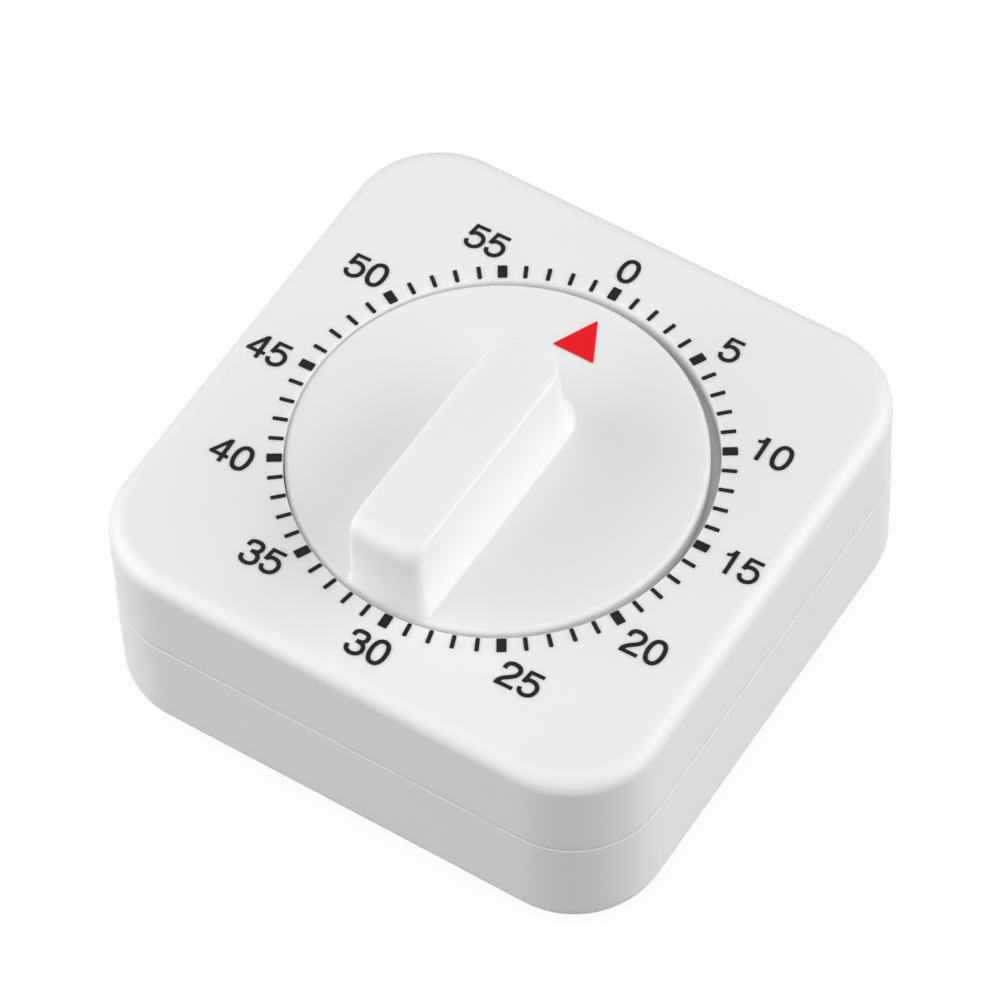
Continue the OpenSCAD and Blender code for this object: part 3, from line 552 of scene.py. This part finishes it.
@dataclass
class Dial:
    """The printed numbers round the minute marks.

    The height in units, the advance from one digit to the next, and the level of a digit's
    middle are in the strokes' units. Each stroke's top lies a trace above the one before, so
    that no two faces coincide where strokes cross.
    """

    turn_deg: float = 2.1
    ink_low: float = 24.65
    ink_t: float = 0.04
    stroke_lift: float = 0.0006
    height: float = 2.9
    height_units: float = 712.0
    advance: float = 556.0
    middle: float = 342.0
    boldness: float = 1.12
    places: dict[int, tuple[float, float]] = field(default_factory=lambda: {
        0: (-0.1, 24.9), 5: (13.3, 21.4), 10: (22.5, 12.6), 15: (26.2, -0.3), 20: (22.8, -12.6),
        25: (14.4, -21.4), 30: (0.1, -25.2), 35: (-13.9, -21.3), 40: (-22.7, -12.5),
        45: (-26.0, -0.3), 50: (-22.6, 12.6), 55: (-14.1, 21.4)})

    @staticmethod
    def digits_of(value: int) -> list[Digit]:
        """The digits of a number, tens first.

        Args:
            value: the number of minutes.

        Returns:
            One digit below ten, and two from there on.
        """
        digits = list(Digit)
        tens, ones = divmod(value, 10)
        return [digits[tens], digits[ones]] if tens else [digits[ones]]

    def number(self, value: int) -> bpy.types.Object:
        """One printed number, its digits side by side, centred on its place.

        Args:
            value: the number of minutes.

        Returns:
            The number's object.
        """
        points: list[np.ndarray] = []
        faces: list[list[int]] = []
        count = 0
        digits = self.digits_of(value)
        top = self.ink_low + self.ink_t
        scale = self.height / self.height_units
        turn = math.radians(self.turn_deg)
        across = np.array([math.cos(turn), math.sin(turn)])
        up = np.array([-math.sin(turn), math.cos(turn)])
        width = self.advance * len(digits)
        place = np.array(self.places[value])
        for slot, digit in enumerate(digits):
            start = [slot * self.advance - width / 2, -self.middle]
            for stroke in digit.value:
                flat = (stroke.path() + start) * scale + place
                path = flat[:, :1] * across + flat[:, 1:] * up
                top += self.stroke_lift
                thickness = stroke.width * self.boldness * scale
                found, sides = ink_stroke(path, thickness, self.ink_low, top, stroke.closed)
                points.append(found)
                faces += [[count + corner for corner in side] for side in sides]
                count += len(found)
        return mesh_piece(f"number_{value:02d}", np.vstack(points), faces, smooth=False)

    def build(self) -> None:
        """Prints all twelve numbers on the upper cover."""
        ink = materials[Finish.black_ink]
        for value in self.places:
            piece = self.number(value)
            piece.data.materials.append(ink)
            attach(piece, "case")
            log.info("number %s printed", value)


def fused(name: str, first: bpy.types.Object, second: bpy.types.Object) -> bpy.types.Object:
    """Joins two closed forms into one closed piece and removes them.

    Args:
        name: name of the new piece.
        first: one form.
        second: the form that runs into it.

    Returns:
        The piece, with no faces inside.
    """
    join = first.modifiers.new("join", "BOOLEAN")
    join.operation = "UNION"
    join.solver = "EXACT"
    join.object = second
    mesh = bpy.data.meshes.new_from_object(first.evaluated_get(bpy.context.evaluated_depsgraph_get()))
    for form in (first, second):
        bpy.data.objects.remove(form)
    piece = bpy.data.objects.new(name, mesh)
    bpy.context.scene.collection.objects.link(piece)
    return piece


def ring_faces(rings: int, count: int) -> list[list[int]]:
    """Faces between rings of points, each ring counter-clockwise seen from above.

    Args:
        rings: number of rings, the lowest or innermost first.
        count: points on each ring.

    Returns:
        The faces, closed round each ring, looking outwards where the rings rise.
    """
    row, col = np.meshgrid(np.arange(rings - 1), np.arange(count), indexing="ij")
    after = (col + 1) % count
    corners = [row * count + col, row * count + after, (row + 1) * count + after, (row + 1) * count + col]
    return np.stack(corners, -1).reshape(-1, 4).tolist()


def arc(
    middle: tuple[float, float], radius: float, start_deg: float, end_deg: float, steps: int
) -> np.ndarray:
    """Places along an arc, its end left out: middle + radius * (cos, sin) of the direction.

    Args:
        middle: centre of the arc.
        radius: its radius.
        start_deg: direction of its start.
        end_deg: direction of its end.
        steps: number of places.

    Returns:
        Array of the places.
    """
    turn = np.radians(np.linspace(start_deg, end_deg, steps, endpoint=False))
    return np.array(middle) + radius * np.stack([np.cos(turn), np.sin(turn)], 1)


def set_back(radius: float, past: float) -> float:
    """How far a quarter-round edge stands back: radius - sqrt(radius^2 - past^2).

    Args:
        radius: the edge's radius.
        past: how far past the start of the rounding, held between 0 and the radius.

    Returns:
        The distance.
    """
    held = min(max(0.0, past), radius)
    return radius - math.sqrt(radius**2 - held**2)


@dataclass
class Knob:
    """Turning disc with its bar grip, softened at every edge as the moulding is.

    The grip's widths, reaches and corners are given at the disc, at the waist and at the
    top, and its foot is sunk below the disc's face. The face's rings stand at shares of the
    rim's radius. The steps count the places on each stretch of a curve.
    """

    axis_x: float = -0.25
    rim_x: float = -0.49
    rim_y: float = -0.06
    lean: float = 0.015
    face_z: float = 24.4
    top_z: float = 35.0
    rim_r: float = 20.46
    rim_edge: float = 0.6
    skirt_z: float = 22.35
    skirt_t: float = 1.4
    plate_t: float = 1.6
    hub_r: float = 4.0
    pole_r: float = 1.0
    face_rings: tuple[float, float] = (0.75, 0.4)
    waist_z: float = 27.0
    sunk: float = 0.78
    right_widths: tuple[float, float, float] = (4.3, 3.95, 3.78)
    left_widths: tuple[float, float, float] = (4.95, 4.24, 3.82)
    reaches: tuple[float, float, float] = (9.4, 7.75, 6.95)
    right_corners: tuple[float, float, float] = (1.2, 1.5, 1.3)
    left_corners: tuple[float, float, float] = (1.5, 1.1, 0.7)
    shoulder: float = 0.13
    shoulder_run: float = 5.0
    front_r: float = 20.4
    nose_r: float = 2.0
    top_edge: float = 0.18
    foot_edge: float = 0.15
    turn_steps: int = 240
    edge_steps: int = 9
    end_steps: int = 48
    side_steps: int = 40
    corner_steps: int = 10
    front_steps: int = 24
    foot_steps: int = 6
    flare_steps: int = 14
    draft_steps: int = 7
    nose_steps: int = 40
    sharp_deg: float = 40.0

    def along(self, sizes: tuple[float, float, float], level: float) -> float:
        """Size at a height: a straight draft above the waist, a hollow flare below it.

        The flare adds (base - waist) * (1 - t)^2, where t runs from 0 at the disc to 1 at
        the waist.

        Args:
            sizes: the size at the disc, at the waist and at the top.
            level: the height.

        Returns:
            The size at that height.
        """
        base, waist, top = sizes
        if level >= self.waist_z:
            return waist + (top - waist) * (level - self.waist_z) / (self.top_z - self.waist_z)
        t = max(0.0, (level - self.face_z) / (self.waist_z - self.face_z))
        return waist + (base - waist) * (1 - t) ** 2

    def outline(self, level: float) -> np.ndarray:
        """Level outline of the grip: round back end, drafted sides, and a front that follows the rim.

        The back end is half an ellipse whose two quarters reach each side. The left side
        stands in by twice the shoulder where it leaves that end, less the further it goes:
        2 * shoulder * (1 - s)^2, where s runs from 0 to 1 along the shoulder's run. The whole
        outline then leans sideways by a share of its distance from the axis.

        Args:
            level: the height.

        Returns:
            Array of the outline's places, counter-clockwise.
        """
        side = set_back(self.top_edge, level - self.top_z + self.top_edge)
        side -= set_back(self.foot_edge, self.face_z + self.foot_edge - level)
        right = self.along(self.right_widths, level) - side
        left = self.along(self.left_widths, level) - side
        round_r = (left + right) / 2 - self.shoulder
        back = self.along(self.reaches, level) - side - round_r
        rim = self.front_r - set_back(self.nose_r, level - self.top_z + self.nose_r)
        ends = []
        for half, corners in ((right, self.right_corners), (left, self.left_corners)):
            corner_r = self.along(corners, level)
            middle = (half - corner_r, -math.sqrt((rim - corner_r) ** 2 - (half - corner_r) ** 2))
            ends.append((middle, corner_r, math.degrees(math.atan2(middle[1], middle[0]))))
        (right_end, right_r, right_slant), (left_end, left_r, left_slant) = ends
        turn = np.radians(np.linspace(0, 180, self.end_steps, endpoint=False))
        reach = np.where(np.cos(turn) > 0, right, left - 2 * self.shoulder)
        along_left = np.linspace(back, left_end[1], self.side_steps, endpoint=False)
        run = np.clip((back - along_left) / self.shoulder_run, 0, 1)
        flat = np.vstack([
            np.column_stack([reach * np.cos(turn), back + round_r * np.sin(turn)]),
            np.column_stack([-left + 2 * self.shoulder * (1 - run) ** 2, along_left]),
            arc((-left_end[0], left_end[1]), left_r, 180, 180 - left_slant, self.corner_steps),
            arc((0, 0), rim, 180 - left_slant, 360 + right_slant, self.front_steps),
            arc(right_end, right_r, right_slant, 0, self.corner_steps),
            np.linspace([right, right_end[1]], [right, back], self.side_steps, endpoint=False),
        ])
        flat[:, 0] += self.lean * flat[:, 1]
        return flat

    def grip(self) -> tuple[np.ndarray, list[list[int]]]:
        """Points and faces of the grip, its foot sunk in the disc.

        The levels lie closer where an edge is rounded: they follow the cosine of the turn at
        the foot and its sine at the nose.

        Returns:
            The points, the lowest outline first, and the faces.
        """
        quarter = math.pi / 2
        foot_turn = np.linspace(0, quarter, self.foot_steps)
        nose_turn = np.linspace(0, quarter, self.nose_steps)
        foot = self.face_z + self.foot_edge * (1 - np.cos(foot_turn))
        flare = np.linspace(self.face_z + self.foot_edge, self.waist_z, self.flare_steps)[1:]
        side = np.linspace(self.waist_z, self.top_z - self.nose_r, self.draft_steps)[1:]
        nose = self.top_z - self.nose_r * (1 - np.sin(nose_turn))[1:]
        levels = np.concatenate([[self.face_z - self.sunk], foot, flare, side, nose])
        rings = []
        for level in levels:
            flat = self.outline(max(level, self.face_z))
            rings.append(np.column_stack([flat, np.full(len(flat), level)]))
        count = len(rings[0])
        faces = ring_faces(len(rings), count)
        last = (len(rings) - 1) * count
        faces += [list(range(count))[::-1], list(range(last, last + count))]
        return np.vstack(rings), faces

    def disc(self, hub_z: float) -> tuple[np.ndarray, list[list[int]]]:
        """Points and faces of the disc, its skirt and its hub.

        A profile of radius and height is turned about the axis. Between the hub and the
        skirt the middle of its rings moves from the axis to the rim's own middle, in
        proportion to the radius.

        Args:
            hub_z: height of the hub's lower end.

        Returns:
            The points, rings first and the two poles last, and the faces.
        """
        inner = self.rim_r - self.skirt_t
        below = self.face_z - self.plate_t
        turn = np.linspace(0, math.pi / 2, self.edge_steps)
        edge_r = self.rim_r - self.rim_edge * (1 - np.cos(turn))
        edge_z = self.face_z - self.rim_edge * (1 - np.sin(turn))
        profile = np.vstack([
            [(self.pole_r, hub_z), (self.hub_r, hub_z), (self.hub_r, below), (inner, below)],
            [(inner, self.skirt_z), (self.rim_r, self.skirt_z)],
            np.column_stack([edge_r, edge_z]),
            [(share * self.rim_r, self.face_z) for share in self.face_rings],
            [(self.pole_r, self.face_z)],
        ])
        count = self.turn_steps
        around = np.radians(np.arange(count) * 360 / count)
        radius, height = profile[:, :1], profile[:, 1:]
        across = radius * np.cos(around) + np.interp(radius, [self.hub_r, inner], [self.axis_x, self.rim_x])
        ahead = radius * np.sin(around) + np.interp(radius, [self.hub_r, inner], [0, self.rim_y])
        rings = np.stack([across, ahead, np.broadcast_to(height, across.shape)], -1).reshape(-1, 3)
        faces = ring_faces(len(profile), count)
        poles = len(rings)
        ring = np.arange(count)
        after = (ring + 1) % count
        faces += np.stack([after, ring, np.full(count, poles)], 1).tolist()
        last = (len(profile) - 1) * count
        faces += np.stack([ring + last, after + last, np.full(count, poles + 1)], 1).tolist()
        return np.vstack([rings, [[self.axis_x, 0, hub_z], [self.axis_x, 0, self.face_z]]]), faces

    def build(self) -> None:
        """Makes the knob as one piece in place of its CAD node."""
        hub_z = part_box("knob")[0][2] / MM
        disc = mesh_piece("disc_form", *self.disc(hub_z))
        grip = mesh_piece("grip_form", *self.grip())
        piece = fused("knob_moulding", disc, grip)
        piece.data.set_sharp_from_angle(angle=math.radians(self.sharp_deg))
        piece.data.materials.append(materials[Finish.white_abs])
        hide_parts("knob")
        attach(piece, "knob")
        log.info("knob has %s faces", len(piece.data.polygons))


@dataclass
class Pointer:
    """The printed triangle on the disc, in place of its CAD node.

    The insets are how far the middles of the rounded corners stand back from the sharp
    corners, along the triangle's height at the tip and along its base at the base.
    """

    tip: tuple[float, float] = (-0.59, 18.38)
    base_y: float = 13.8
    half_base: float = 2.33
    corner_r: float = 0.1
    corner_steps: int = 8
    tip_inset: float = 0.2
    base_inset: float = 0.17
    ink_low: float = 24.39
    ink_top: float = 24.44

    def outline(self) -> np.ndarray:
        """Three corners, each an arc that joins the sides on both sides of it.

        Returns:
            Array of the outline's places, counter-clockwise.
        """
        tip_x, tip_y = self.tip
        base = self.base_y + self.corner_r
        reach = self.half_base - self.base_inset
        corners = np.array([[tip_x, tip_y - self.tip_inset], [tip_x - reach, base], [tip_x + reach, base]])
        sides = np.roll(corners, -1, 0) - corners
        out = np.degrees(np.arctan2(sides[:, 1], sides[:, 0])) - 90
        path = []
        for corner, before, after in zip(corners, np.roll(out, 1), out):
            end = before + (after - before) % 360
            path.append(arc(tuple(corner), self.corner_r, before, end, self.corner_steps))
        return np.vstack(path)

    def build(self) -> None:
        """Makes the triangle as a thin layer of ink."""
        flat = self.outline()
        count = len(flat)
        layers = [np.column_stack([flat, np.full(count, level)]) for level in (self.ink_low, self.ink_top)]
        faces = ring_faces(2, count) + [list(range(count))[::-1], list(range(count, 2 * count))]
        piece = mesh_piece("pointer_print", np.vstack(layers), faces, smooth=False)
        piece.data.materials.append(materials[Finish.red_ink])
        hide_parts("pointer_mark")
        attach(piece, "knob")
        log.info("pointer printed")


@dataclass
class Frame:
    """Dresses the CAD nodes in the finishes of the record's slots."""

    def build(self) -> None:
        """Puts each node's finish in all its material slots."""
        slots = {entry["node"]: entry["material_slot"] for entry in frame["record"]["subparts"]}
        for node, obj in frame["nodes"].items():
            name = slots[node]
            finish = materials[Finish[name]]
            if not obj.data.materials:
                obj.data.materials.append(finish)
            for place in range(len(obj.material_slots)):
                obj.material_slots[place].material = finish
            log.info("%s has the finish %s", node, name)


@dataclass
class PhotoCamera:
    """Camera at the photograph's place, with the directions of its own three axes.

    The lens and the sensor are in millimetres, as Blender has them.
    """

    place: tuple[float, float, float] = (0.18742, -0.27272, 0.49617)
    right: tuple[float, float, float] = (0.845438, 0.533345, -0.027876)
    up: tuple[float, float, float] = (-0.425841, 0.704689, 0.567515)
    back: tuple[float, float, float] = (0.322325, -0.467928, 0.822891)
    lens: float = 216.28
    sensor: float = 36.0
    nearest: float = 0.01

    def build(self) -> None:
        """Adds the camera and makes it the scene's own."""
        data = bpy.data.cameras.new("camera")
        data.sensor_width = self.sensor
        data.lens = self.lens
        data.clip_start = self.nearest
        camera = bpy.data.objects.new("camera", data)
        turn = Matrix((self.right, self.up, self.back)).transposed().to_4x4()
        camera.matrix_world = Matrix.Translation(Vector(self.place)) @ turn
        bpy.context.scene.collection.objects.link(camera)
        bpy.context.scene.camera = camera


@dataclass
class Lamp:
    """A soft rectangular lamp aimed at the timer."""

    name: str
    place: tuple[float, float, float]
    size: tuple[float, float]
    watts: float
    target: tuple[float, float, float] = (0.0, 0.0, 0.02)

    def build(self) -> None:
        """Adds the lamp, turned to face the middle of the case."""
        data = bpy.data.lights.new(self.name, "AREA")
        data.shape = "RECTANGLE"
        data.size, data.size_y = self.size
        data.energy = self.watts
        lamp = bpy.data.objects.new(self.name, data)
        lamp.location = self.place
        aim = Vector(self.target) - Vector(self.place)
        lamp.rotation_euler = aim.to_track_quat("-Z", "Y").to_euler()
        bpy.context.scene.collection.objects.link(lamp)


@dataclass
class Studio:
    """White floor, white surroundings and soft lamps.

    The floor shows white by its glow and gives little light back to the timer, and the
    room's strength is 1 where it is seen and less where it lights the timer.
    """

    floor_half: float = 3.0
    floor_grey: float = 66.0
    floor_roughness: float = 0.9
    floor_glow: float = 0.92
    room: float = 0.48
    lamps: tuple[Lamp, ...] = (
        Lamp("right", (1.09, 0.40, 0.59), (1.6, 1.2), 13.9),
        Lamp("left", (-0.42, -0.33, 0.27), (0.72, 0.52), 2.8),
        Lamp("top", (0.1, 0.1, 1.4), (1.5, 1.5), 0.5),
    )

    def lay_floor(self) -> None:
        """Adds the floor, which glows only where a camera, glossy or transmission ray meets it."""
        half = self.floor_half / MM
        corners = np.array([[-half, -half, 0], [half, -half, 0], [half, half, 0], [-half, half, 0]])
        floor = mesh_piece("floor", corners, [[0, 1, 2, 3]])
        material, tree = new_material("floor_white")
        path = tree.node("ShaderNodeLightPath", {}, {})
        seen = path.pick("Is Camera Ray") + path.pick("Is Glossy Ray") + path.pick("Is Transmission Ray")
        tree.surface(
            Base_Color=grey(self.floor_grey),
            Roughness=self.floor_roughness,
            Emission_Color=tree.mix(seen.clamp(), grey(0), grey(255)),
            Emission_Strength=self.floor_glow,
        )
        floor.data.materials.append(material)

    def light_room(self) -> None:
        """Adds the world, whose strength rises from the room's to 1 for the rays that see it."""
        world = bpy.data.worlds.new("white_room")
        world.use_nodes = True
        nodes, links = world.node_tree.nodes, world.node_tree.links
        background = nodes["Background"]
        rays = nodes.new("ShaderNodeLightPath")
        share = rays.outputs["Is Camera Ray"]
        for name in ("Is Glossy Ray", "Is Transmission Ray"):
            more = nodes.new("ShaderNodeMath")
            more.operation = "MAXIMUM"
            links.new(share, more.inputs[0])
            links.new(rays.outputs[name], more.inputs[1])
            share = more.outputs[0]
        level = nodes.new("ShaderNodeMapRange")
        level.inputs["To Min"].default_value = self.room
        level.inputs["To Max"].default_value = 1.0
        links.new(share, level.inputs["Value"])
        background.inputs["Color"].default_value = (1, 1, 1, 1)
        links.new(level.outputs[0], background.inputs["Strength"])
        bpy.context.scene.world = world

    def build(self) -> None:
        """Adds the floor, the world and the lamps."""
        self.lay_floor()
        self.light_room()
        for lamp in self.lamps:
            lamp.build()


def main() -> None:
    """Builds the classes in order."""
    logging.basicConfig(level=logging.INFO, format="%(message)s")
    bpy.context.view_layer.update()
    for finish in Finish:
        materials[finish] = finish.value.make()
    Frame().build()
    Knob().build()
    Pointer().build()
    Dial().build()
    PhotoCamera().build()
    Studio().build()
    bpy.context.scene.view_settings.view_transform = "Standard"


if __name__ == "__main__":
    main()
